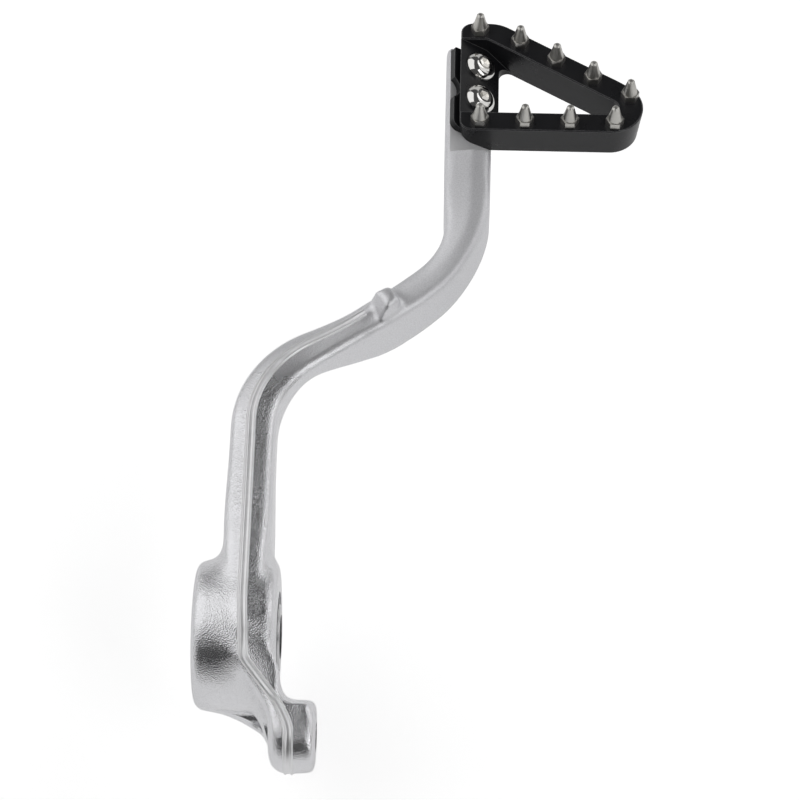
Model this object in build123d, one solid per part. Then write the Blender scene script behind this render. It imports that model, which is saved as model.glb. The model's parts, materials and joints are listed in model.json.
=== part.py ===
from build123d import *
import os
from math import cos, radians, sin, tan

os.makedirs("parts", exist_ok=True)

# Origin on the pivot axis at the middle of the boss: X runs outboard, Y forward, Z up

# Pivot boss of the forging
boss_radius = 20.8
boss_length = 22.6
boss_rim_round = 3.2
rib_proud = 1.2
rib_blend = 1.6
rib_valley = 1.6

# Pivot inside the boss: a clamped steel collar turning in two bushes behind two lip seals
pivot_bore = 12.0
collar_wall = 3.0
collar_stand_out = 0.5
collar_edge = 0.5
running_clearance = 0.04
bush_wall = 2.0
bush_length = 6.0
bush_setback = 0.4
seal_width = 3.5
seal_recess = 1.0
seal_section = 3.2
seal_lip = 0.9
seal_clearance = 0.05

# Plan of the lever: a straight leg, an S-bend and a straight tongue
leg_x = 2.3
leg_length = 56.0
leg_width = 12.8
lever_offset = 57.5
first_bend_turn = 64.0
first_bend_radius = 27.0
second_bend_turn = 52.0
second_bend_radius = 27.0
waist_width = 10.0
tongue_width = 13.4
neck_end_y = 141.0
tongue_end_y = 179.0

# Section of the lever: drafted top and bottom, rounded corners, a trimmed flash band on top
forging_draft = 8.0
corner_round = 2.6
band_base = 2.5
band_top = 1.6
band_proud = 0.3
band_root = 1.5
band_turn_y = -15.5

# Lug on top of the S-bend
lug_position = 0.65
lug_base_z = 22.0
lug_across = 6.6
lug_top = 4.4
lug_ramp = 7.0
lug_height = 9.4
lug_round = 2.0

# Push-rod boss, its web and the hole for the return spring's hook
pin_y = -32.2
pin_z = 4.0
pin_boss_radius = 9.7
pin_boss_start = 10.2
pin_boss_length = 12.6
pin_boss_round = 1.6
pin_boss_inner_round = 4.6
pin_bore = 8.0
pin_face_radius = 5.4
hook_y = -22.8
hook_z = -5.5
hook_bore = 5.6
hook_wall = 2.4
web_front_y = -27.2
web_right_x = 13.1
web_valley = 3.0

# Step plate: a flared ring with one slanted mounting bar
plate_top_z = 38.0
plate_thickness = 10.8
plate_left_x = 57.2
plate_rear_y = 146.3
plate_front_y = 186.3
plate_apex_x = 133.9
plate_slope = 31.5
plate_flare = 6.0
rear_arm_width = 6.7
slope_arm_width = 7.1
front_arm_width = 6.1
bar_width = 11.3
rear_corner_round = 3.5
front_corner_round = 3.5
slope_corner_round = 10.0
apex_round = 9.4
window_round = 2.6
plate_edge = 0.3

# Slanted seat between the plate and the tongue
seat_tilt = 34.0
seat_start_y = 142.0
flange_thickness = 4.0
lip_reach = 2.8
lip_thickness = 2.0
lip_rear_y = 149.0
lip_front_y = 178.2
lip_corner_round = 2.4
lip_front_round = 0.6
scallop_y = 163.2
scallop_radius = 4.2

# Two M5 x 10 button-head screws
screw_diameter = 5.0
screw_length = 10.0
screw_head_diameter = 9.5
screw_head_height = 2.75
screw_head_rim = 0.5
screw_head_flat = 4.6
screw_socket = 3.0
screw_socket_depth = 1.6
screw_rear_y = 160.2
screw_pitch = 12.4
screw_clearance = 0.25
thread_clearance = 0.05
tap_extra = 0.8

# Nine screwed-in spikes
spike_across_flats = 4.6
spike_height = 7.2
spike_hex_height = 2.2
spike_cone_radius = 2.1
spike_tip_radius = 0.95
spike_tip_bevel = 0.45
spike_shank_diameter = 3.0
spike_shank_length = 5.0
spike_tap_extra = 0.6
spike_inset = 3.25
lower_spikes = 4
lower_spike_x = 63.0
lower_spike_pitch = 12.87
upper_spikes = 4
upper_spike_x = 74.4
upper_spike_pitch = 12.4
corner_spike_x = 62.7
corner_spike_y = 183.3

collar_radius = pivot_bore / 2 + collar_wall
bush_inner = collar_radius + running_clearance
bush_outer = bush_inner + bush_wall
seal_inner = collar_radius + seal_clearance
seal_outer = seal_inner + seal_section
seal_pocket_depth = seal_width + seal_recess
half_boss = boss_length / 2


def along_x(radius, start, end, y=0.0, z=0.0):
    """A cylinder on an axis parallel to the pivot."""
    disc = Plane(origin=(start, y, z), z_dir=(1, 0, 0)) * Circle(radius)
    return extrude(disc, amount=end - start)


def turned_about_x(*points):
    """A ring from a closed outline of (x, radius) points."""
    return revolve(make_face(Polyline(*points, close=True)), Axis.X)


def rounded(points, rounds):
    """A closed outline with its own round at each corner."""
    face = make_face(Polyline(*points, close=True))
    for (x, y), radius in zip(points, rounds):
        if radius > 0:
            corner = face.vertices().sort_by_distance((x, y, 0))[0]
            face = fillet(corner, radius)
    return face


# Lever centre line in plan: the long middle arc takes up what the two bends leave of the offset
first_offset = first_bend_radius * (1 - cos(radians(first_bend_turn)))
second_offset = second_bend_radius * (1 - cos(radians(second_bend_turn)))
middle_reach = cos(radians(second_bend_turn)) - cos(radians(first_bend_turn))
middle_radius = (lever_offset - first_offset - second_offset) / middle_reach
leg = Line((leg_x, 0), (leg_x, leg_length))
first_bend = JernArc(leg @ 1, leg % 1, first_bend_radius, -first_bend_turn)
middle = JernArc(first_bend @ 1, first_bend % 1, middle_radius, first_bend_turn - second_bend_turn)
second_bend = JernArc(middle @ 1, middle % 1, second_bend_radius, second_bend_turn)
neck = Line(second_bend @ 1, (leg_x + lever_offset, neck_end_y))
tongue = Line(neck @ 1, (leg_x + lever_offset, tongue_end_y))


def lever_section(width, top, bottom, ridge):
    """Closed section of the forging, drafted from its ridge to both sides."""
    half = width / 2
    left_roof = (half + ridge) * tan(radians(forging_draft))
    right_roof = (half - ridge) * tan(radians(forging_draft))
    corners = [
        (-half, top - left_roof),
        (ridge, top),
        (half, top - right_roof),
        (half, bottom + right_roof),
        (ridge, bottom),
        (-half, bottom + left_roof),
    ]
    rounds = [corner_round, 0, corner_round, corner_round, 0, corner_round]
    return rounded(corners, rounds)


def across(edge, place):
    """Where a place on the centre line lies, and the direction to its right."""
    heading = edge % place
    return edge @ place, Vector(heading.Y, -heading.X, 0)


def station(edge, place, width, top, bottom, ridge):
    """A section of the lever standing square across its centre line."""
    point, right = across(edge, place)
    plane = Plane(origin=(point.X, point.Y, 0), x_dir=right, z_dir=(right.Y, -right.X, 0))
    return plane * lever_section(width, top, bottom, ridge)


def ridge_point(edge, place, width, top, bottom, ridge):
    """The top of the ridge at a station."""
    point, right = across(edge, place)
    return point + right * ridge + Vector(0, 0, top)


# Stations along the lever: edge, place on it, width, top, bottom and ridge
rib_radius = boss_radius + rib_proud
banded_stations = [
    (leg, 0.0, leg_width, rib_radius - 0.3, 0.3 - rib_radius, 0.0),
    (leg, 0.4, leg_width, 21.9, -10.5, -0.2),
    (leg, 0.76, leg_width, 21.6, 1.5, -0.4),
    (leg, 1.0, leg_width, 21.6, 6.5, -0.6),
    (first_bend, 0.5, 13.0, 22.2, 11.2, -1.0),
    (first_bend, 1.0, 11.8, 23.6, 13.8, -1.3),
    (middle, 0.3, waist_width, 25.1, 10.7, -1.3),
    (middle, 0.6, waist_width, 26.8, 9.2, -1.2),
]
plain_stations = [
    (middle, 1.0, waist_width, 29.2, 11.6, -0.8),
    (second_bend, 0.5, 10.0, 32.2, 15.0, 0.2),
    (second_bend, 1.0, 13.0, 34.8, 18.0, 1.2),
    (neck, 0.5, tongue_width, 35.6, 19.4, 1.4),
    (neck, 1.0, tongue_width, 36.0, 20.4, 1.5),
]
sections = [station(*values) for values in banded_stations + plain_stations]
centre_line = Wire([leg.edge(), first_bend.edge(), middle.edge(), second_bend.edge(), neck.edge()])
arm = sweep(sections, path=centre_line, multisection=True)
tongue_start = station(tongue, 0.0, tongue_width, 36.0, 20.4, 1.5)
tongue_tip = station(tongue, 1.0, tongue_width, 36.4, 21.4, 1.5)
arm += loft([tongue_start, tongue_tip], ruled=True)

# Flash band along the ridge, as far as the lug
ridge_points = [ridge_point(*values) for values in banded_stations]
ridge_line = Spline(*ridge_points, tangents=[leg % 0, middle % 0.6])
band_section = Polyline(
    (-band_base / 2, -band_root),
    (-band_base / 2, 0),
    (-band_top / 2, band_proud),
    (band_top / 2, band_proud),
    (band_base / 2, 0),
    (band_base / 2, -band_root),
    close=True,
)
band_start = Plane(origin=ridge_line @ 0, x_dir=(1, 0, 0), z_dir=(0, -1, 0))
arm_band = sweep(band_start * make_face(band_section), path=ridge_line)

# Boss with its raised rib, turned on the pivot axis
rib_left = leg_x - leg_width / 2
rib_right = leg_x + leg_width / 2
rib_shoulder = rib_radius - leg_width / 2 * tan(radians(forging_draft))
boss_end_radius = boss_radius - (half_boss + rib_left - rib_blend) * tan(radians(forging_draft))
boss_outline = rounded(
    [
        (-half_boss, 0),
        (-half_boss, boss_end_radius),
        (rib_left - rib_blend, boss_radius),
        (rib_left, rib_shoulder),
        (leg_x, rib_radius),
        (half_boss, rib_shoulder),
        (half_boss, 0),
    ],
    [0, boss_rim_round, rib_valley, corner_round, 0, boss_rim_round, 0],
)
boss = revolve(boss_outline, Axis.X)

# Web to the push-rod boss: its plan strip meets its side outline
side_outline = [
    Circle(boss_radius).edge(),
    Pos(pin_y, pin_z) * Circle(pin_boss_radius).edge(),
    Pos(hook_y, hook_z) * Circle(hook_bore / 2 + hook_wall).edge(),
]
side_plane = Plane(origin=(0, 0, 0), x_dir=(0, 1, 0), z_dir=(1, 0, 0))
pin_boss_end = pin_boss_start + pin_boss_length


def web_plan(level, valley_y, flank_x, flank_y, end_x, end_y, flank_round):
    """Plan of the web at one level; its inboard wall leans out toward the bottom."""
    return Pos(0, 0, level) * rounded(
        [
            (rib_left, 0),
            (rib_left, valley_y),
            (flank_x, flank_y),
            (end_x, end_y),
            (pin_boss_start + pin_boss_inner_round, pin_y - 2 * pin_boss_radius),
            (pin_boss_end - pin_boss_round, pin_y - 2 * pin_boss_radius),
            (pin_boss_end - pin_boss_round, web_front_y),
            (web_right_x, web_front_y),
            (web_right_x, web_front_y + 8.0),
            (half_boss - 1.0, web_front_y + 15.0),
            (half_boss - 1.0, 0),
        ],
        [0, flank_round, 2 * flank_round, 0, 0, 0, 0, web_valley, web_valley, web_valley, 0],
    )


web_top = web_plan(rib_radius + 2.0, -8.0, 8.6, -26.5, 13.6, -41.0, 14.0)
web_bottom = web_plan(-rib_radius, -18.0, 7.2, -25.5, 12.0, -36.0, 6.0)
side_hull = side_plane * make_face(make_hull(side_outline))
web = extrude(side_hull, amount=2 * pin_boss_end, both=True) & loft([web_bottom, web_top], ruled=True)

pin_boss = along_x(pin_boss_radius, pin_boss_start, pin_boss_end, pin_y, pin_z)
pin_boss_rims = pin_boss.edges().filter_by(GeomType.CIRCLE).sort_by(Axis.X)
pin_boss = fillet(pin_boss_rims[-1], pin_boss_round)
pin_boss = fillet(pin_boss.edges().filter_by(GeomType.CIRCLE).sort_by(Axis.X)[0], pin_boss_inner_round)

# Flash band over the boss and the web
pin_middle = pin_boss_start + pin_boss_length / 2
band_line = Polyline(
    (leg_x, boss_radius / 2),
    (leg_x, 0),
    (leg_x + 0.6, band_turn_y),
    (web_right_x + 0.3, web_front_y - 1.3),
    (pin_middle - 1.5, pin_y - 0.3),
    (pin_middle - 0.7, pin_y - 5.8),
    (pin_middle - 0.7, pin_y - 2 * pin_boss_radius),
)
band_plan = make_face(offset(band_line, band_base / 2, side=Side.BOTH))
band_strip = extrude(band_plan, amount=2 * rib_radius, both=True)
band_hull = extrude(offset(side_hull, band_proud), amount=2 * pin_boss_end, both=True)
boss_band = band_strip & (band_hull + along_x(rib_radius + band_proud, -half_boss, pin_boss_end))

# Lug on top of the middle arc: a ramp on the rear, steep in front
lug_foot = middle @ lug_position
lug_plane = Plane(origin=(lug_foot.X, lug_foot.Y, lug_base_z), x_dir=middle % lug_position, z_dir=(0, 0, 1))
lug_side = [(-lug_ramp, 0), (-lug_top / 2, lug_height), (lug_top / 2, lug_height), (lug_top / 2, 0)]
lug_profile = lug_plane * Rot(X=90) * make_face(Polyline(*lug_side, close=True))
lug = extrude(lug_profile, amount=lug_across / 2, both=True)
lug = fillet(lug.edges().group_by(Axis.Z)[-1] + lug.edges().filter_by(Axis.Z), lug_round)

# Slanted seat machined across the tongue
seat_drop = flange_thickness / cos(radians(seat_tilt))
seat_plane = Plane(
    origin=(plate_left_x, 0, plate_top_z - seat_drop),
    x_dir=(cos(radians(seat_tilt)), 0, -sin(radians(seat_tilt))),
    z_dir=(sin(radians(seat_tilt)), 0, cos(radians(seat_tilt))),
)
floor_plane = seat_plane.offset(flange_thickness)
seat_reach = tongue_end_y - neck_end_y
seat_cut = seat_plane * Pos(0, seat_start_y, 0) * Box(
    seat_reach, seat_reach, seat_reach, align=(Align.CENTER, Align.MIN, Align.MIN)
)
screw_across = (bar_width / 2 - flange_thickness * sin(radians(seat_tilt))) / cos(radians(seat_tilt))
screw_places = [(screw_across, screw_rear_y + i * screw_pitch) for i in range(2)]
tap_depth = screw_length - flange_thickness + tap_extra

lever = boss + web + pin_boss + arm + arm_band + boss_band + lug
lever -= seat_cut
for place in screw_places:
    tapped = seat_plane * Pos(*place, 0) * Cylinder(
        screw_diameter / 2 + thread_clearance, tap_depth, align=(Align.CENTER, Align.CENTER, Align.MAX)
    )
    lever -= tapped
lever -= along_x(bush_outer, -half_boss, half_boss)
lever -= along_x(seal_outer, -half_boss, -half_boss + seal_pocket_depth)
lever -= along_x(seal_outer, half_boss - seal_pocket_depth, half_boss)
lever -= along_x(pin_bore / 2, pin_boss_start, pin_boss_end, pin_y, pin_z)
lever -= along_x(pin_face_radius, -half_boss, pin_boss_start, pin_y, pin_z)
lever -= along_x(hook_bore / 2, -half_boss, pin_boss_end, hook_y, hook_z)
export_step(lever, "parts/lever_forging.step")

# Pivot collar, bushes and seals
half_collar = half_boss + collar_stand_out
collar = along_x(collar_radius, -half_collar, half_collar)
collar = chamfer(collar.edges().filter_by(GeomType.CIRCLE), collar_edge)
collar -= along_x(pivot_bore / 2, -half_collar, half_collar)
export_step(collar, "parts/pivot_collar.step")

bush_end = half_boss - seal_pocket_depth - bush_setback
bush = turned_about_x(
    (bush_end - bush_length, bush_inner),
    (bush_end - bush_length, bush_outer),
    (bush_end, bush_outer),
    (bush_end, bush_inner),
)
seal_face = half_boss - seal_recess
seal = turned_about_x(
    (seal_face - seal_width, seal_outer),
    (seal_face, seal_outer),
    (seal_face, seal_inner + seal_lip),
    (seal_face - seal_lip, seal_inner),
    (seal_face - seal_width, seal_outer - seal_lip),
)
export_step(bush, "parts/bush_outboard.step")
export_step(mirror(bush, about=Plane.YZ), "parts/bush_inboard.step")
export_step(seal, "parts/dust_seal_outboard.step")
export_step(mirror(seal, about=Plane.YZ), "parts/dust_seal_inboard.step")

# Step plate ring: the outer wall flares outward to the top
slope = radians(plate_slope)
rise = tan(slope)


def slope_x(y, inset):
    """Where the sloping arm's line, moved inward by inset, crosses a given y."""
    return plate_apex_x - (y - plate_rear_y) / rise - inset / sin(slope)


outline = rounded(
    [
        (plate_left_x, plate_rear_y),
        (plate_apex_x, plate_rear_y),
        (slope_x(plate_front_y, 0), plate_front_y),
        (plate_left_x, plate_front_y),
    ],
    [rear_corner_round, apex_round, slope_corner_round, front_corner_round],
)
window_x = plate_left_x + bar_width
window_rear = plate_rear_y + rear_arm_width
window_front = plate_rear_y + (slope_x(plate_rear_y, slope_arm_width) - window_x) * rise
window = rounded(
    [
        (window_x, window_rear),
        (slope_x(window_rear, slope_arm_width), window_rear),
        (window_x, window_front),
    ],
    [window_round, window_round, window_round],
)
lift = Pos(0, 0, plate_top_z)
ring = extrude(lift * outline, amount=-plate_thickness, taper=plate_flare)
ring -= extrude(lift * window, amount=-2 * plate_thickness)

# Pocket over the slanted floor, open to the left edge and to the window
pocket_front = plate_front_y - front_arm_width
pocket = rounded(
    [
        (plate_left_x - bar_width, window_rear),
        (slope_x(window_rear, slope_arm_width), window_rear),
        (slope_x(pocket_front, slope_arm_width), pocket_front),
        (plate_left_x - bar_width, pocket_front),
    ],
    [window_round, window_round, window_round, window_round],
)
plate_span = plate_apex_x - plate_left_x
above_floor = floor_plane * Pos(0, plate_rear_y, 0) * Box(
    2 * plate_span, 2 * plate_span, plate_span, align=(Align.CENTER, Align.CENTER, Align.MIN)
)
below_seat = seat_plane * Pos(0, plate_rear_y, 0) * Box(
    2 * plate_span, 2 * plate_span, plate_span, align=(Align.CENTER, Align.CENTER, Align.MAX)
)
plate = ring - (extrude(lift * pocket, amount=plate_span, both=True) & above_floor)

# Lip along the inboard edge, flat on the seat, with a scallop between its two lobes
lip_left = -lip_reach / cos(radians(seat_tilt))
lip_outline = rounded(
    [(lip_left, lip_rear_y), (lip_reach, lip_rear_y), (lip_reach, lip_front_y), (lip_left, lip_front_y)],
    [lip_corner_round, 0, 0, lip_front_round],
)
lip_outline -= Pos(lip_left - scallop_radius / 2, scallop_y) * Circle(scallop_radius)
plate += extrude(seat_plane * lip_outline, amount=lip_thickness)
plate -= below_seat
plate = chamfer(plate.faces().sort_by(Axis.Z)[-1].edges(), plate_edge)

# Screws along the seat's normal
plate_top = Plane(origin=(0, 0, plate_top_z))
for place in screw_places:
    screw_hole = Cylinder(screw_diameter / 2 + screw_clearance, 3 * flange_thickness)
    plate -= floor_plane * Pos(*place, 0) * screw_hole

head_profile = make_face(
    Polyline((0, 0), (screw_head_diameter / 2, 0), (screw_head_diameter / 2, screw_head_rim))
    + ThreePointArc(
        (screw_head_diameter / 2, screw_head_rim),
        (screw_head_diameter / 2 - 0.75, screw_head_height - 0.85),
        (screw_head_flat / 2, screw_head_height),
    )
    + Polyline((screw_head_flat / 2, screw_head_height), (0, screw_head_height), (0, 0))
)
screw = revolve(Plane.XZ * head_profile, Axis.Z)
screw += Cylinder(screw_diameter / 2, screw_length, align=(Align.CENTER, Align.CENTER, Align.MAX))
socket = RegularPolygon(screw_socket / 2, 6, major_radius=False)
screw -= Pos(0, 0, screw_head_height) * extrude(socket, amount=-screw_socket_depth)
for place, name in zip(screw_places, ("rear", "front")):
    export_step(floor_plane * Pos(*place, 0) * screw, f"parts/plate_screw_{name}.step")

# Spikes: a hexagon under a blunt cone, on a threaded shank
hexagon = RegularPolygon(spike_across_flats / 2, 6, major_radius=False)
spike = extrude(hexagon, amount=spike_hex_height)
spike += Pos(0, 0, spike_hex_height) * Cone(
    spike_cone_radius,
    spike_tip_radius,
    spike_height - spike_hex_height,
    align=(Align.CENTER, Align.CENTER, Align.MIN),
)
spike = chamfer(spike.edges().group_by(Axis.Z)[-1], spike_tip_bevel)
spike += Cylinder(
    spike_shank_diameter / 2, spike_shank_length, align=(Align.CENTER, Align.CENTER, Align.MAX)
)

spike_places = {}
for i in range(lower_spikes):
    spike_places[f"lower_{i + 1}"] = (lower_spike_x + i * lower_spike_pitch, plate_rear_y + spike_inset)
spike_places["upper_1"] = (corner_spike_x, corner_spike_y)
upper_y = plate_rear_y + (slope_x(plate_rear_y, spike_inset) - upper_spike_x) * rise
for i in range(upper_spikes):
    step = i * upper_spike_pitch
    spike_places[f"upper_{i + 2}"] = (upper_spike_x + step * cos(slope), upper_y - step * sin(slope))
for name, place in spike_places.items():
    plate -= plate_top * Pos(*place, 0) * Cylinder(
        spike_shank_diameter / 2 + thread_clearance,
        spike_shank_length + spike_tap_extra,
        align=(Align.CENTER, Align.CENTER, Align.MAX),
    )
    export_step(plate_top * Pos(*place, 0) * spike, f"parts/spike_{name}.step")
export_step(plate, "parts/step_plate.step")
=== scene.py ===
import json
import math

import bmesh
import bpy
import numpy as np
from mathutils import Matrix, Vector
from mathutils.bvhtree import BVHTree


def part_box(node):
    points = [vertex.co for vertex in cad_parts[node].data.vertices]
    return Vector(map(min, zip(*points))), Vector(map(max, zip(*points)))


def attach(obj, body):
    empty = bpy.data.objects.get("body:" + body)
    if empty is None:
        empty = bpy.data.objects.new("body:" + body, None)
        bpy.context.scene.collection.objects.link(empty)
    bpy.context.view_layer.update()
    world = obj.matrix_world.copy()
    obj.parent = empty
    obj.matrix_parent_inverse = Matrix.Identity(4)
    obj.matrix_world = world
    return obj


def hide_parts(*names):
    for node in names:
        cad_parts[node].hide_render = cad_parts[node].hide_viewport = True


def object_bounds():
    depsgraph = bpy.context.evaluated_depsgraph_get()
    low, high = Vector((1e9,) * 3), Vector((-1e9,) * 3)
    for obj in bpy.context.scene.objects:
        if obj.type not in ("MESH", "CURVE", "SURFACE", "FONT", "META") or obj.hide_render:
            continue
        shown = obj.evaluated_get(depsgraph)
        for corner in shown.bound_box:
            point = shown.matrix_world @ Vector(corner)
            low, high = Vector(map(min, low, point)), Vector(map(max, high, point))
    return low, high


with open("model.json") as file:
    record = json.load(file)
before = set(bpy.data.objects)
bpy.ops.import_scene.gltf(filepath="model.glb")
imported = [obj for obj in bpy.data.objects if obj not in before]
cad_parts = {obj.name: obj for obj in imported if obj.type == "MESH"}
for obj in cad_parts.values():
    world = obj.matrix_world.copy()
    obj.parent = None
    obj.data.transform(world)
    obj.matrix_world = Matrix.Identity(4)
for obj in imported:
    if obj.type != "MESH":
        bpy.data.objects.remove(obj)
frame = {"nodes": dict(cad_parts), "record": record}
cad_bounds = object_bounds()
MM = 0.001

# Camera: the pivot's middle lies at this depth and pixel of an 800 pixel square
VIEW_ELEVATION = math.radians(56.0)
VIEW_AZIMUTH = math.radians(1.5)
PIVOT_DEPTH = 0.85
PIVOT_PIXEL = (237.0, 636.0)
FOCAL_PIXELS = 3145.0
IMAGE_PIXELS = 800.0
SENSOR_WIDTH = 36.0

# Forged skin of the lever
SKIN_VOXEL = 0.52 * MM
MERGE_DISTANCE = 0.001 * MM
FILL_OVERLAP = 0.3 * MM
EVEN_PASSES = 28
WEB_PASSES = 80
HOLLOW_PASSES = 160
SMOOTHING = 0.5

# Where the web's inboard edge blends away: full strength inside, fading over the margin
WEB_LOW = (-9.0 * MM, -48.0 * MM, -30.0 * MM)
WEB_HIGH = (11.5 * MM, -9.0 * MM, 30.0 * MM)
WEB_MARGIN = 4.0 * MM

# Past the first bend the forging is crisper: the smoothing fades over this stretch of the lever
CRISP_FROM = 84.0 * MM
CRISP_TO = 108.0 * MM
CRISP_SHARE = 0.3

# The blasted grain gives way to a satin finish between these places along the lever
SATIN_FROM = 66.0 * MM
SATIN_TO = 100.0 * MM

# The lug keeps its edges: little smoothing inside its reach
LUG_FOOT = (36.1 * MM, 90.8 * MM)
LUG_REACH = 5.0 * MM
LUG_FADE = 3.0 * MM
LUG_SHARE = 0.12

# Straight neck and tongue: sections in millimetres, each with its place along the lever
NECK_X = 59.8 * MM
NECK_SECTIONS = (
    dict(place=121.5, width=13.0, top=34.8, bottom=18.0, ridge=1.2),
    dict(place=141.0, width=13.4, top=36.0, bottom=20.4, ridge=1.5),
    dict(place=179.0, width=13.4, top=36.4, bottom=21.4, ridge=1.5),
)
NECK_FROM = 114.0 * MM
NECK_SLACK = 4.0 * MM
DRAFT = math.radians(8.0)
CORNER_REACH = 2.2
CORNER_STEPS = 6

# Machined features of the lever; cutters reach past what they cut
COLLAR_PROUD = 0.5 * MM
CUT_PAST = 1.0 * MM
SEAT_REACH = 40.0 * MM
SEAT_TILT = math.radians(34.0)
SEAT_START_Y = 140.6 * MM
SEAT_SLACK = 0.01 * MM
MILLED_FACING = 0.999
SCREW_LENGTH = 10.0 * MM
FLANGE_THICKNESS = 4.0 * MM
TAP_RADIUS = 2.55 * MM
TAP_DEPTH = 6.8 * MM
SPOT_FACE_RADIUS = 5.0 * MM
HOOK_HOLE = (-22.8 * MM, -5.5 * MM)
HOOK_RADIUS = 2.8 * MM
CUTTER_SEGMENTS = 96
SHARP_ANGLE = math.radians(32.0)

# Trimmed flash band along the top of the forging, from under the push-rod boss to the lug
LEG_X = 2.3 * MM
LEG_LENGTH = 56.0 * MM
FIRST_BEND_RADIUS = 27.0 * MM
FIRST_BEND_TURN = math.radians(64.0)
MIDDLE_RADIUS = 180.26 * MM
MIDDLE_BAND_TURN = math.radians(5.5)
PIN_BOSS_RADIUS = 9.7 * MM
WRAP_START = math.radians(15.0)
WRAP_END = math.radians(190.0)
WRAP_STEPS = 23
WRAP_SHIFT = -0.7 * MM
BAND_OFF_BOSS = (-1.5 * MM, -0.3 * MM)
BAND_ON_WEB = (13.0 * MM, -28.5 * MM)
BAND_BEND_Y = -16.0 * MM
BAND_BEND_SHIFT = 0.8 * MM
BAND_LEG_SHARE = 0.4
BAND_LEG_SHIFT = 0.2 * MM
BAND_LEG_END_SHIFT = 0.6 * MM
BAND_MIDDLE_SHIFT = 1.3 * MM
BEND_STEPS = 24
MIDDLE_STEPS = 12
PROBE_HEIGHT = 0.2
BAND_STEP = 0.5 * MM
BAND_EASING = 5
BAND_HALF = 1.5 * MM
BAND_RIDGE = 0.85 * MM
BAND_RIDGE_HALF = 0.58 * MM
BAND_LIFT = 0.34 * MM
BAND_GROOVE = 0.03 * MM
BAND_SKIRT = 0.3 * MM
BAND_COLUMNS = 25


def new_object(name, mesh):
    """An object in the scene around a mesh."""
    obj = bpy.data.objects.new(name, mesh)
    bpy.context.scene.collection.objects.link(obj)
    return obj


def with_modifier(obj, kind, **settings):
    """The object's mesh after one modifier, put in place of its own."""
    modifier = obj.modifiers.new(kind.lower(), kind)
    for key, value in settings.items():
        setattr(modifier, key, value)
    graph = bpy.context.evaluated_depsgraph_get()
    mesh = bpy.data.meshes.new_from_object(obj.evaluated_get(graph))
    obj.modifiers.clear()
    obj.data = mesh


def cylinder(bm, radius, start, end):
    """A closed cylinder between two points."""
    axis = Vector(end) - Vector(start)
    turn = axis.to_track_quat("Z", "Y").to_matrix().to_4x4()
    middle = Matrix.Translation((Vector(start) + Vector(end)) / 2)
    bmesh.ops.create_cone(
        bm, cap_ends=True, segments=CUTTER_SEGMENTS, radius1=radius, radius2=radius,
        depth=axis.length, matrix=middle @ turn,
    )


def cut(obj, build):
    """Cuts a closed shape, made by a function on a bmesh, out of an object."""
    bm = bmesh.new()
    build(bm)
    mesh = bpy.data.meshes.new("cutter")
    bm.to_mesh(mesh)
    bm.free()
    cutter = new_object("cutter", mesh)
    bpy.context.view_layer.update()
    with_modifier(obj, "BOOLEAN", operation="DIFFERENCE", solver="EXACT", object=cutter)
    bpy.data.objects.remove(cutter)


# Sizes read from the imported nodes
seal_low, seal_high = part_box("dust_seal_outboard")
bush_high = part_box("bush_outboard")[1]
collar_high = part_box("pivot_collar")[1]
push_rod = next(m for m in frame["record"]["mounts"] if m["name"] == "push_rod_bore")
pin_x, pin_y, pin_z = push_rod["pos_m"]
pin_radius = push_rod["dims"]["r_mm"] * MM
pin_half = push_rod["dims"]["length_mm"] * MM / 2
pin_start = pin_x - pin_half
pin_end = pin_x + pin_half
seal_radius = seal_high.z
bush_radius = bush_high.z
boss_face = collar_high.x - COLLAR_PROUD
seal_floor = seal_low.x

seat_normal = Vector((math.sin(SEAT_TILT), 0.0, math.cos(SEAT_TILT)))
screw_seats = []
for node in ("plate_screw_rear", "plate_screw_front"):
    tips = [Vector(v.co) for v in frame["nodes"][node].data.vertices]
    reach = min(tip.dot(seat_normal) for tip in tips)
    rise = reach + SCREW_LENGTH - FLANGE_THICKNESS
    middle = sum(tips, Vector()) / len(tips)
    screw_seats.append(middle + (rise - middle.dot(seat_normal)) * seat_normal)

bores = [
    (bush_radius, (-boss_face, 0, 0), (boss_face, 0, 0)),
    (seal_radius, (-boss_face, 0, 0), (-seal_floor, 0, 0)),
    (seal_radius, (seal_floor, 0, 0), (boss_face, 0, 0)),
    (pin_radius, (pin_start, pin_y, pin_z), (pin_end, pin_y, pin_z)),
]


def neck_ring(bm, place, width, top, bottom, ridge):
    """One section of the neck: drafted from its ridge, with eased corners."""
    half = width / 2
    left = (half + ridge) * math.tan(DRAFT)
    right = (half - ridge) * math.tan(DRAFT)
    corners = [
        (-half, top - left), (ridge, top), (half, top - right),
        (half, bottom + right), (ridge, bottom), (-half, bottom + left),
    ]
    ring = []
    for i, corner in enumerate(corners):
        here = Vector(corner)
        if corner[0] == ridge:
            ring.append(here)
            continue
        start = here + (Vector(corners[i - 1]) - here).normalized() * CORNER_REACH
        end = here + (Vector(corners[(i + 1) % len(corners)]) - here).normalized() * CORNER_REACH
        for step in range(CORNER_STEPS + 1):
            share = step / CORNER_STEPS
            ring.append(start.lerp(here, share).lerp(here.lerp(end, share), share))
    return [bm.verts.new((NECK_X + x * MM, place * MM, z * MM)) for x, z in ring]


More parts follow.
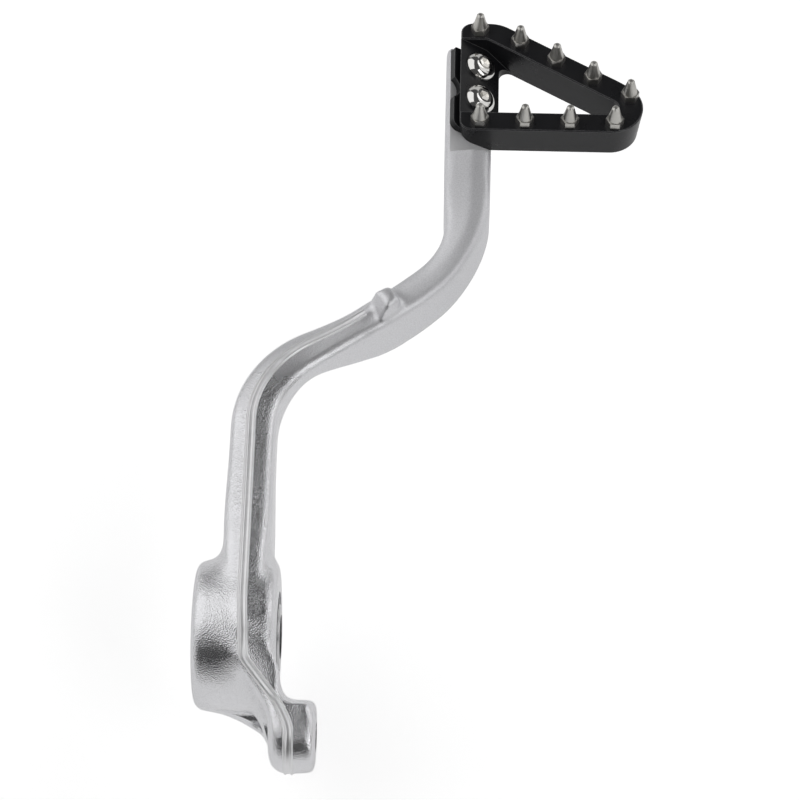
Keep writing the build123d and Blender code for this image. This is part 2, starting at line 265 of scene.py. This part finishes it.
# Lever: the forging's skin is grown over its filled bores, softened, and machined again
bm = bmesh.new()
bm.from_mesh(frame["nodes"]["lever_forging"].data)
bmesh.ops.remove_doubles(bm, verts=bm.verts, dist=MERGE_DISTANCE)
for radius, start, end in bores:
    cylinder(bm, radius + FILL_OVERLAP, start, end)
rings = [neck_ring(bm, **section) for section in NECK_SECTIONS]
for back, front in zip(rings, rings[1:]):
    for a, b, c, d in zip(back, back[1:] + back[:1], front[1:] + front[:1], front):
        bm.faces.new((a, b, c, d))
bm.faces.new(rings[0])
bm.faces.new(rings[-1])
bmesh.ops.recalc_face_normals(bm, faces=bm.faces)
mesh = bpy.data.meshes.new("lever_skin")
bm.to_mesh(mesh)
bm.free()
lever = new_object("lever", mesh)
voxel = SKIN_VOXEL
with_modifier(lever, "REMESH", mode="VOXEL", voxel_size=voxel, use_smooth_shade=True)


def soften(mesh):
    """Even smoothing, more of it on the web, then passes that only fill hollows as a die leaves them."""
    count = len(mesh.vertices)
    points = np.empty(count * 3)
    mesh.vertices.foreach_get("co", points)
    points = points.reshape(-1, 3)
    pairs = np.empty(len(mesh.edges) * 2, dtype=np.int64)
    mesh.edges.foreach_get("vertices", pairs)
    first, second = pairs.reshape(-1, 2).T
    valence = np.bincount(pairs, minlength=count)[:, None]
    inside = np.minimum(points - np.array(WEB_LOW), np.array(WEB_HIGH) - points).min(axis=1)
    on_web = np.clip(inside / WEB_MARGIN, 0.0, 1.0)[:, None]
    along = np.clip((points[:, 1] - CRISP_FROM) / (CRISP_TO - CRISP_FROM), 0.0, 1.0)
    from_lug = np.hypot(points[:, 0] - LUG_FOOT[0], points[:, 1] - LUG_FOOT[1])
    off_lug = np.clip((from_lug - LUG_REACH) / LUG_FADE, LUG_SHARE, 1.0)
    share = (off_lug * (1.0 - (1.0 - CRISP_SHARE) * along))[:, None]
    places = [section["place"] * MM for section in NECK_SECTIONS]
    widths = [section["width"] * MM for section in NECK_SECTIONS]
    curved = np.clip((places[0] - points[:, 1]) / (places[0] - NECK_FROM), 0.0, None)
    limit = np.interp(points[:, 1], places, widths) / 2 + NECK_SLACK * curved ** 2
    limit[points[:, 1] < NECK_FROM] = np.inf
    points[:, 0] = np.clip(points[:, 0], NECK_X - limit, NECK_X + limit)
    normals = np.empty(count * 3)
    for step in range(EVEN_PASSES + WEB_PASSES + HOLLOW_PASSES):
        around = np.column_stack([
            np.bincount(first, points[second, k], count) + np.bincount(second, points[first, k], count)
            for k in range(3)
        ])
        pull = around / valence - points
        if step >= EVEN_PASSES + WEB_PASSES:
            mesh.vertices.foreach_set("co", points.ravel())
            mesh.update()
            mesh.vertex_normals.foreach_get("vector", normals)
            outward = np.einsum("ij,ij->i", pull, normals.reshape(-1, 3)) > 0
            pull *= outward[:, None]
        elif step >= EVEN_PASSES:
            pull *= on_web
        points += SMOOTHING * share * pull
    mesh.vertices.foreach_set("co", points.ravel())
    mesh.update()


soften(lever.data)
skin = BVHTree.FromObject(lever, bpy.context.evaluated_depsgraph_get())


def seat_box(bm):
    """The room above the slanted seat."""
    along = Vector((math.cos(SEAT_TILT), 0.0, -math.sin(SEAT_TILT)))
    ground = screw_seats[0]
    frame_matrix = Matrix((along, Vector((0, 1, 0)), seat_normal)).transposed().to_4x4()
    corner = Vector((ground.x, SEAT_START_Y, ground.z))
    place = corner + seat_normal * SEAT_REACH + Vector((0, SEAT_REACH, 0))
    bmesh.ops.create_cube(bm, size=2 * SEAT_REACH, matrix=Matrix.Translation(place) @ frame_matrix)


cut(lever, seat_box)
past = boss_face + CUT_PAST
holes = [
    (SPOT_FACE_RADIUS, (-past, pin_y, pin_z), (pin_start, pin_y, pin_z)),
    (pin_radius, (pin_start - CUT_PAST, pin_y, pin_z), (pin_end + CUT_PAST, pin_y, pin_z)),
    (HOOK_RADIUS, (-past, *HOOK_HOLE), (pin_end, *HOOK_HOLE)),
    (seal_radius, (-past, 0, 0), (-seal_floor, 0, 0)),
    (seal_radius, (seal_floor, 0, 0), (past, 0, 0)),
    (bush_radius, (-past, 0, 0), (past, 0, 0)),
]
for seat in screw_seats:
    holes.append((TAP_RADIUS, seat + seat_normal * CUT_PAST, seat - seat_normal * TAP_DEPTH))
for radius, start, end in holes:
    cut(lever, lambda bm: cylinder(bm, radius, start, end))
lever.data.set_sharp_from_angle(angle=SHARP_ANGLE)
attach(lever, "pedal")
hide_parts("lever_forging")


def top_of_skin(x, y):
    """The skin's highest point over a place in plan."""
    return skin.ray_cast(Vector((x, y, PROBE_HEIGHT)), Vector((0, 0, -1)))[0]


def band_route():
    """Points along the middle of the flash band, on or near the skin."""
    route = []
    band_x = pin_x + WRAP_SHIFT
    for i in range(WRAP_STEPS + 1):
        turn = WRAP_END + (WRAP_START - WRAP_END) * i / WRAP_STEPS
        side = Vector((0, -math.sin(turn), math.cos(turn)))
        route.append(Vector((band_x, pin_y, pin_z)) + PIN_BOSS_RADIUS * side)
    plan = [
        (pin_x + BAND_OFF_BOSS[0], pin_y + BAND_OFF_BOSS[1]),
        BAND_ON_WEB,
        (LEG_X + BAND_BEND_SHIFT, BAND_BEND_Y),
        (LEG_X, 0.0),
        (LEG_X - BAND_LEG_SHIFT, BAND_LEG_SHARE * LEG_LENGTH),
        (LEG_X - BAND_LEG_END_SHIFT, LEG_LENGTH),
    ]
    centre = Vector((LEG_X + FIRST_BEND_RADIUS, LEG_LENGTH))
    for i in range(1, BEND_STEPS + 1):
        share = i / BEND_STEPS
        turn = FIRST_BEND_TURN * share
        radius = FIRST_BEND_RADIUS + BAND_LEG_END_SHIFT * (1 - share) + BAND_MIDDLE_SHIFT * share
        plan.append(centre + radius * Vector((-math.cos(turn), math.sin(turn))))
    left = Vector((-math.cos(FIRST_BEND_TURN), math.sin(FIRST_BEND_TURN)))
    centre += (FIRST_BEND_RADIUS + MIDDLE_RADIUS) * left
    radius = MIDDLE_RADIUS - BAND_MIDDLE_SHIFT
    for i in range(1, MIDDLE_STEPS + 1):
        turn = FIRST_BEND_TURN - MIDDLE_BAND_TURN * i / MIDDLE_STEPS
        plan.append(centre + radius * Vector((math.cos(turn), -math.sin(turn))))
    eased = evenly([Vector(place) for place in plan], BAND_STEP)
    return evenly(route + [top_of_skin(place.x, place.y) for place in eased], BAND_STEP)


def evenly(route, step):
    """A route with its points spaced evenly and its corners eased."""
    spaced = [route[0]]
    for a, b in zip(route, route[1:]):
        pieces = max(1, round((b - a).length / step))
        spaced += [a.lerp(b, (i + 1) / pieces) for i in range(pieces)]
    for _ in range(BAND_EASING):
        inner = [(p + 2 * q + r) / 4 for p, q, r in zip(spaced, spaced[1:], spaced[2:])]
        spaced = [spaced[0]] + inner + [spaced[-1]]
    return spaced


def band_lift(offset):
    """Height of the band over the skin: two rounded ridges beside a shallow groove, sunk at its edges."""
    to_ridge = (abs(offset) - BAND_RIDGE) / BAND_RIDGE_HALF
    if abs(to_ridge) <= 1:
        return BAND_GROOVE + BAND_LIFT * math.cos(to_ridge * math.pi / 2) ** 2
    if to_ridge < 0:
        return BAND_GROOVE
    edge = BAND_HALF - BAND_RIDGE - BAND_RIDGE_HALF
    return BAND_GROOVE - (BAND_GROOVE + BAND_SKIRT) * (abs(offset) - BAND_HALF + edge) / edge


# Flash band: a strip laid on the skin
bm = bmesh.new()
rows = []
route = band_route()
for i, point in enumerate(route):
    ahead = (route[min(i + 1, len(route) - 1)] - route[max(i - 1, 0)]).normalized()
    normal = skin.find_nearest(point)[1]
    across = ahead.cross(normal).normalized()
    row = []
    for k in range(BAND_COLUMNS):
        offset = BAND_HALF * (2 * k / (BAND_COLUMNS - 1) - 1)
        hit, normal, _, _ = skin.find_nearest(point + across * offset)
        row.append(bm.verts.new(hit + normal * band_lift(offset)))
    rows.append(row)
for back, front in zip(rows, rows[1:]):
    for a, b, c, d in zip(back, back[1:], front[1:], front):
        bm.faces.new((a, b, c, d)).smooth = True
bmesh.ops.recalc_face_normals(bm, faces=bm.faces)
mesh = bpy.data.meshes.new("flash_band")
bm.to_mesh(mesh)
bm.free()
band = new_object("flash_band", mesh)
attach(band, "pedal")


# Finishes: size of the roughness patches, reach and colour of the edges that are rubbed and carry a
# painted highlight, grain left under the satin
PATCH_SIZE = 7.0 * MM
EDGE_WEAR_AND_HIGHLIGHT_RADIUS = 0.35 * MM
EDGE_WEAR_AND_HIGHLIGHT_FROM = 0.995
EDGE_WEAR_AND_HIGHLIGHT_FULL = 0.9
RUBBED_AND_HIGHLIGHT_EDGE_COLOUR = (0.35, 0.35, 0.36, 1.0)
SATIN_GRAIN = 0.3
NOISE_LOW = 0.3
NOISE_HIGH = 0.7


def surface(
    name, colour, metallic, roughness, spread, grain, depth,
    tint=0.06, wear_and_highlight=0.0, satin=0.0, mottle=2.5 * MM, shine=0.5,
):
    """A procedural finish: mottled colour and roughness, a fine grain in relief, and edges that are
    rubbed and carry a painted highlight.

    A satin roughness takes over from the blasted grain along the upper lever.
    """
    material = bpy.data.materials.new(name)
    material.use_nodes = True
    nodes = material.node_tree.nodes
    links = material.node_tree.links
    shader = nodes["Principled BSDF"]
    shader.inputs["Metallic"].default_value = metallic
    shader.inputs["Specular IOR Level"].default_value = shine
    place = nodes.new("ShaderNodeTexCoord").outputs["Object"]

    def noise(size, detail):
        texture = nodes.new("ShaderNodeTexNoise")
        texture.inputs["Scale"].default_value = 1.0 / size
        texture.inputs["Detail"].default_value = detail
        links.new(place, texture.inputs["Vector"])
        return texture.outputs["Fac"]

    def spread_between(value, low, high):
        mapped = nodes.new("ShaderNodeMapRange")
        mapped.inputs["From Min"].default_value = NOISE_LOW
        mapped.inputs["From Max"].default_value = NOISE_HIGH
        mapped.inputs["To Min"].default_value = low
        mapped.inputs["To Max"].default_value = high
        links.new(value, mapped.inputs["Value"])
        return mapped.outputs["Result"]

    rough = spread_between(noise(PATCH_SIZE, 4.0), roughness - spread, roughness + spread)
    if satin:
        split = nodes.new("ShaderNodeSeparateXYZ")
        links.new(place, split.inputs[0])
        upper = nodes.new("ShaderNodeMapRange")
        upper.inputs["From Min"].default_value = SATIN_FROM
        upper.inputs["From Max"].default_value = SATIN_TO
        links.new(split.outputs["Y"], upper.inputs["Value"])
        eased = nodes.new("ShaderNodeMix")
        links.new(upper.outputs["Result"], eased.inputs[0])
        links.new(rough, eased.inputs[2])
        eased.inputs[3].default_value = satin
        rough = eased.outputs[0]
    links.new(rough, shader.inputs["Roughness"])

    mix = nodes.new("ShaderNodeMix")
    mix.data_type = "RGBA"
    mix.inputs[6].default_value = [c * (1 - tint) for c in colour] + [1.0]
    mix.inputs[7].default_value = [min(1.0, c * (1 + tint)) for c in colour] + [1.0]
    links.new(spread_between(noise(mottle, 3.0), 0.0, 1.0), mix.inputs[0])
    colour_out = mix.outputs[2]
    # Edges take a set colour: rubbed wear, and a painted edge highlight where it lightens a dark finish
    if wear_and_highlight > 0:
        bevel = nodes.new("ShaderNodeBevel")
        bevel.samples = 4
        bevel.inputs["Radius"].default_value = EDGE_WEAR_AND_HIGHLIGHT_RADIUS
        geometry = nodes.new("ShaderNodeNewGeometry")
        dot = nodes.new("ShaderNodeVectorMath")
        dot.operation = "DOT_PRODUCT"
        links.new(bevel.outputs["Normal"], dot.inputs[0])
        links.new(geometry.outputs["Normal"], dot.inputs[1])
        edge = nodes.new("ShaderNodeMapRange")
        edge.inputs["From Min"].default_value = EDGE_WEAR_AND_HIGHLIGHT_FROM
        edge.inputs["From Max"].default_value = EDGE_WEAR_AND_HIGHLIGHT_FULL
        edge.inputs["To Max"].default_value = wear_and_highlight
        links.new(dot.outputs["Value"], edge.inputs["Value"])
        rubbed_and_highlit = nodes.new("ShaderNodeMix")
        rubbed_and_highlit.data_type = "RGBA"
        links.new(edge.outputs["Result"], rubbed_and_highlit.inputs[0])
        links.new(colour_out, rubbed_and_highlit.inputs[6])
        rubbed_and_highlit.inputs[7].default_value = RUBBED_AND_HIGHLIGHT_EDGE_COLOUR
        colour_out = rubbed_and_highlit.outputs[2]
    links.new(colour_out, shader.inputs["Base Color"])

    bump = nodes.new("ShaderNodeBump")
    bump.inputs["Distance"].default_value = depth
    bump.inputs["Strength"].default_value = 1.0
    if satin:
        dimples = nodes.new("ShaderNodeTexVoronoi")
        dimples.inputs["Scale"].default_value = 1.0 / grain
        links.new(place, dimples.inputs["Vector"])
        links.new(dimples.outputs["Distance"], bump.inputs["Height"])
        fade = nodes.new("ShaderNodeMapRange")
        fade.inputs["To Min"].default_value = 1.0
        fade.inputs["To Max"].default_value = SATIN_GRAIN
        links.new(upper.outputs["Result"], fade.inputs["Value"])
        links.new(fade.outputs["Result"], bump.inputs["Strength"])
    else:
        links.new(noise(grain, 2.0), bump.inputs["Height"])
    links.new(bump.outputs["Normal"], shader.inputs["Normal"])
    return material


finishes = {
    "forged_aluminium": surface(
        "blasted_forging", colour=(0.80, 0.80, 0.82), metallic=1.0, roughness=0.22, spread=0.04,
        grain=0.34 * MM, depth=0.065 * MM, tint=0.08, satin=0.55, mottle=0.35 * MM,
    ),
    # The black anodising's lighter edges are painted edge highlights as well as wear
    "black_anodised": surface(
        "black_anodising", colour=(0.014, 0.014, 0.016), metallic=0.0, roughness=0.3, spread=0.05,
        grain=0.2 * MM, depth=0.003 * MM, wear_and_highlight=0.5, shine=0.3,
    ),
    "bright_steel": surface(
        "bright_plating", colour=(0.80, 0.79, 0.77), metallic=1.0, roughness=0.08, spread=0.03,
        grain=0.4 * MM, depth=0.002 * MM, tint=0.03,
    ),
    "spike_steel": surface(
        "turned_steel", colour=(0.58, 0.57, 0.54), metallic=1.0, roughness=0.36, spread=0.06,
        grain=0.15 * MM, depth=0.01 * MM, wear_and_highlight=0.4,
    ),
    "ground_steel": surface(
        "ground_steel", colour=(0.60, 0.60, 0.61), metallic=1.0, roughness=0.22, spread=0.05,
        grain=0.12 * MM, depth=0.006 * MM,
    ),
    "bronze": surface(
        "sintered_bronze", colour=(0.45, 0.29, 0.13), metallic=1.0, roughness=0.4, spread=0.06,
        grain=0.2 * MM, depth=0.01 * MM,
    ),
    "seal_rubber": surface(
        "seal_rubber", colour=(0.02, 0.02, 0.02), metallic=0.0, roughness=0.55, spread=0.08,
        grain=0.3 * MM, depth=0.01 * MM,
    ),
}
for part in frame["record"]["subparts"]:
    node = frame["nodes"][part["node"]]
    node.data.materials.clear()
    node.data.materials.append(finishes[part["material_slot"]])
trimmed = surface(
    "trimmed_band", colour=(0.86, 0.86, 0.87), metallic=1.0, roughness=0.42, spread=0.04,
    grain=0.3 * MM, depth=0.02 * MM, tint=0.03,
)
milled = surface(
    "milled_seat", colour=(0.86, 0.86, 0.87), metallic=0.1, roughness=0.5, spread=0.05,
    grain=0.2 * MM, depth=0.01 * MM, tint=0.03,
)
for piece, coats in ((lever, (finishes["forged_aluminium"], milled)), (band, (trimmed,))):
    piece.data.materials.clear()
    for coat in coats:
        piece.data.materials.append(coat)
for face in lever.data.polygons:
    past_start = face.center.y > SEAT_START_Y - SEAT_SLACK
    on_seat = past_start and face.normal.dot(seat_normal) > MILLED_FACING
    face.material_index = 1 if on_seat else 0

# Floor: plain and pale, white to the camera, with the object's shadow, clear of the pressed pedal
FLOOR_DROP = 15.5 * MM
floor_z = cad_bounds[0].z - FLOOR_DROP
FLOOR_HALF = 9.0
floor_mesh = bpy.data.meshes.new("floor")
floor_mesh.from_pydata(
    [(x * FLOOR_HALF, y * FLOOR_HALF, floor_z) for x, y in ((-1, -1), (1, -1), (1, 1), (-1, 1))],
    [],
    [(0, 1, 2, 3)],
)
floor = new_object("floor", floor_mesh)
paper = bpy.data.materials.new("paper")
paper.use_nodes = True
nodes = paper.node_tree.nodes
links = paper.node_tree.links
shader = nodes["Principled BSDF"]
shader.inputs["Base Color"].default_value = (0.85, 0.85, 0.85, 1.0)
shader.inputs["Roughness"].default_value = 0.9
shader.inputs["Specular IOR Level"].default_value = 0.0
shader.inputs["Emission Color"].default_value = (1.0, 1.0, 1.0, 1.0)
path = nodes.new("ShaderNodeLightPath")
glow = None
for kind, strength in (("Is Camera Ray", 0.58), ("Is Transmission Ray", 0.58), ("Is Glossy Ray", 0.26)):
    part = nodes.new("ShaderNodeMath")
    part.operation = "MULTIPLY_ADD"
    part.inputs[1].default_value = strength
    part.inputs[2].default_value = 0.0
    links.new(path.outputs[kind], part.inputs[0])
    if glow:
        links.new(glow.outputs[0], part.inputs[2])
    glow = part
links.new(glow.outputs[0], shader.inputs["Emission Strength"])
floor.data.materials.append(paper)

# World and lamps: a large soft box on the left, smaller ones behind, in front and right, a dim surround
world = bpy.data.worlds.new("studio")
bpy.context.scene.world = world
world.use_nodes = True
world.node_tree.nodes["Background"].inputs["Color"].default_value = (1.0, 1.0, 1.0, 1.0)
world.node_tree.nodes["Background"].inputs["Strength"].default_value = 0.07


def soft_box(name, place, size, power):
    """A rectangular lamp aimed at the middle of the object."""
    lamp = bpy.data.lights.new(name, "AREA")
    lamp.shape = "RECTANGLE"
    lamp.size, lamp.size_y = size
    lamp.energy = power
    obj = bpy.data.objects.new(name, lamp)
    bpy.context.scene.collection.objects.link(obj)
    obj.location = place
    aim = (cad_bounds[0] + cad_bounds[1]) / 2 - Vector(place)
    obj.rotation_euler = aim.to_track_quat("-Z", "Y").to_euler()


soft_box("box_left", place=(-0.78, 0.28, 0.82), size=(1.7, 1.8), power=8.8)
soft_box("box_back", place=(0.15, 1.1, 0.3), size=(1.4, 0.6), power=1.2)
soft_box("box_edge", place=(0.66, 0.60, 0.52), size=(0.3, 0.45), power=0.42)
soft_box("box_front", place=(0.62, -0.48, 0.60), size=(0.42, 0.9), power=2.0)
soft_box("box_right", place=(0.9, 0.3, 0.5), size=(0.8, 1.0), power=1.9)

# Camera
right = Vector((math.cos(VIEW_AZIMUTH), math.sin(VIEW_AZIMUTH), 0.0))
back = Vector((
    math.cos(VIEW_ELEVATION) * math.sin(VIEW_AZIMUTH),
    -math.cos(VIEW_ELEVATION) * math.cos(VIEW_AZIMUTH),
    math.sin(VIEW_ELEVATION),
))
up = back.cross(right)
shift_x = (PIVOT_PIXEL[0] - IMAGE_PIXELS / 2) / FOCAL_PIXELS
shift_y = (IMAGE_PIXELS / 2 - PIVOT_PIXEL[1]) / FOCAL_PIXELS
camera_data = bpy.data.cameras.new("camera")
camera_data.lens = FOCAL_PIXELS / IMAGE_PIXELS * SENSOR_WIDTH
camera_data.sensor_width = SENSOR_WIDTH
camera_data.clip_start = 0.01
camera = bpy.data.objects.new("camera", camera_data)
bpy.context.scene.collection.objects.link(camera)
location = PIVOT_DEPTH * (back - shift_x * right - shift_y * up)
camera.matrix_world = Matrix.Translation(location) @ Matrix((right, up, back)).transposed().to_4x4()
bpy.context.scene.camera = camera
bpy.context.scene.view_settings.view_transform = "Standard"
